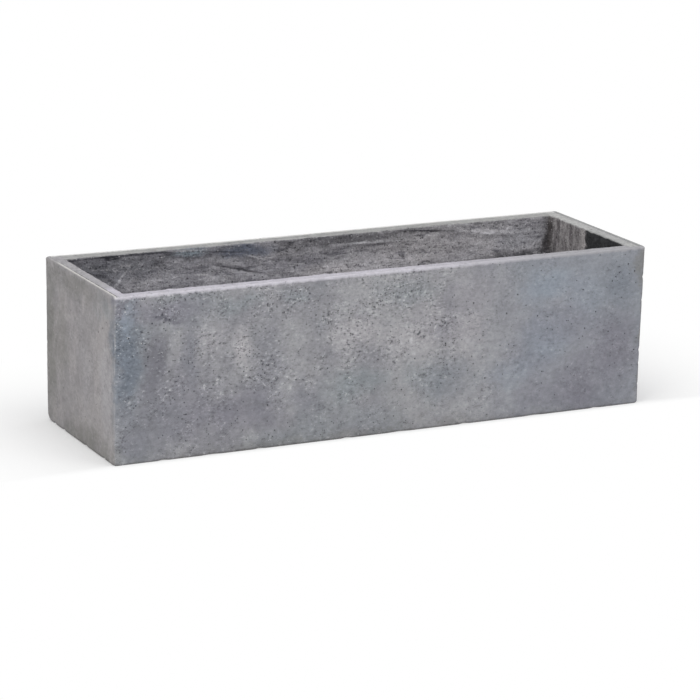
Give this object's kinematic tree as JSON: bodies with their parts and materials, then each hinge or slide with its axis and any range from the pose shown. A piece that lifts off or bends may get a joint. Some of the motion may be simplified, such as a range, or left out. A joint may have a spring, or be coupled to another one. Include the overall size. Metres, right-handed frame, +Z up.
{
  "type": "window box planter",
  "caption": "Long rectangular concrete window box with a rough-packed inside and plugged drain holes, for holding soil and plants on a sill, ledge or floor.",
  "frame": {"origin": "middle of the underside, on the ground plane", "axes": "+X along the box towards its right end, +Y towards its back, +Z up, square to the underside"},
  "size_m": [0.8, 0.254, 0.229],
  "materials": {
    "face_concrete": "cast grey concrete, mottled and pitted, matte",
    "backing_concrete": "rough hand-packed fibre concrete, matte",
    "glass_fibre_scrim": "open glass-fibre weave set in cement",
    "plug_rubber": "matte black moulded rubber"
  },
  "bodies": {
    "trough": {"face_coat": "face_concrete", "fibre_backing": "backing_concrete", "scrim_floor": "glass_fibre_scrim", "scrim_front": "glass_fibre_scrim", "scrim_back": "glass_fibre_scrim", "scrim_left_end": "glass_fibre_scrim", "scrim_right_end": "glass_fibre_scrim"},
    "left_plug": {"drain_plug_left": "plug_rubber"},
    "centre_plug": {"drain_plug_centre": "plug_rubber"},
    "right_plug": {"drain_plug_right": "plug_rubber"}
  },
  "joints": [
    {"name": "left_plug_lift", "type": "slide", "parent": "trough", "child": "left_plug", "axis": [0, 0, 1], "range_m": [0, 0.24]},
    {"name": "centre_plug_lift", "type": "slide", "parent": "trough", "child": "centre_plug", "axis": [0, 0, 1], "range_m": [0, 0.24]},
    {"name": "right_plug_lift", "type": "slide", "parent": "trough", "child": "right_plug", "axis": [0, 0, 1], "range_m": [0, 0.24]}
  ]
}
